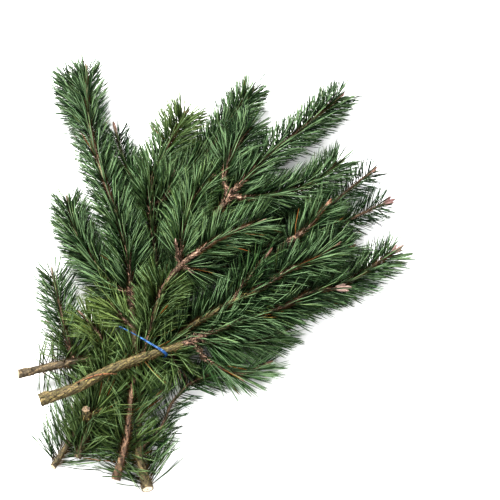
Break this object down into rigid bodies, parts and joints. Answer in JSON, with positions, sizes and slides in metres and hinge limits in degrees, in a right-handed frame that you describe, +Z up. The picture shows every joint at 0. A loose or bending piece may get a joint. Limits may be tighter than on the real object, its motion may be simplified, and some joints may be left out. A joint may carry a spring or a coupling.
{
  "type": "mountain pine branch bundle",
  "caption": "Tied bundle of cut mountain pine branches lying on its side, long paired needles on brown twigs, blue twine round the stems.",
  "frame": {"origin": "on the ground under the middle of the bundle's bounding box", "axes": "+Y along the bundle from the cut ends to the needle tips, +Z up, +X to the right of the bundle seen from above with the tips away"},
  "size_m": [0.7051, 0.78, 0.1588],
  "materials": {
    "needles": "waxy bluish green pine needles with a soft sheen",
    "bark": "matt scaly brown pine bark with pale sawn ends and resinous buds",
    "twine": "blue polypropylene baling twine with a slight gloss"
  },
  "bodies": {
    "root": {"branch_1_leader": "needles", "branch_1_left_shoot": "needles", "branch_1_low_fork": "needles", "branch_1_low_shoot": "needles", "branch_1_short_shoot": "needles", "branch_1_stem": "needles", "branch_1_twin_tip": "needles", "branch_2_leader": "needles", "branch_2_long_shoot": "needles", "branch_2_low_shoot": "needles", "branch_2_stem": "bark", "branch_2_under_shoot": "needles", "branch_3_inner_shoot": "needles", "branch_3_leader": "needles", "branch_3_left_shoot": "needles", "branch_3_lower_shoot": "needles", "branch_3_short_shoot": "needles", "branch_3_stem": "needles", "branch_3_upper_shoot": "needles", "branch_4_leader": "needles", "branch_4_low_shoot": "needles", "branch_4_right_shoot": "needles", "branch_4_side_shoot": "needles", "branch_4_stem": "needles", "branch_4_under_shoot": "needles", "branch_5_bud_twig": "bark", "branch_5_dead_twig": "bark", "branch_5_leader": "needles", "branch_5_left_shoot": "needles", "branch_5_right_shoot": "needles", "branch_5_stem": "needles", "branch_6_leader": "needles", "branch_6_left_shoot": "needles", "branch_6_side_shoot": "needles", "branch_6_stem": "needles", "branch_6_tie_shoot": "needles", "branch_7_leader": "needles", "branch_7_left_shoot": "needles", "branch_7_right_shoot": "needles", "branch_7_stem": "needles", "branch_7_top_shoot": "needles", "tie": "twine"}
  },
  "joints": []
}
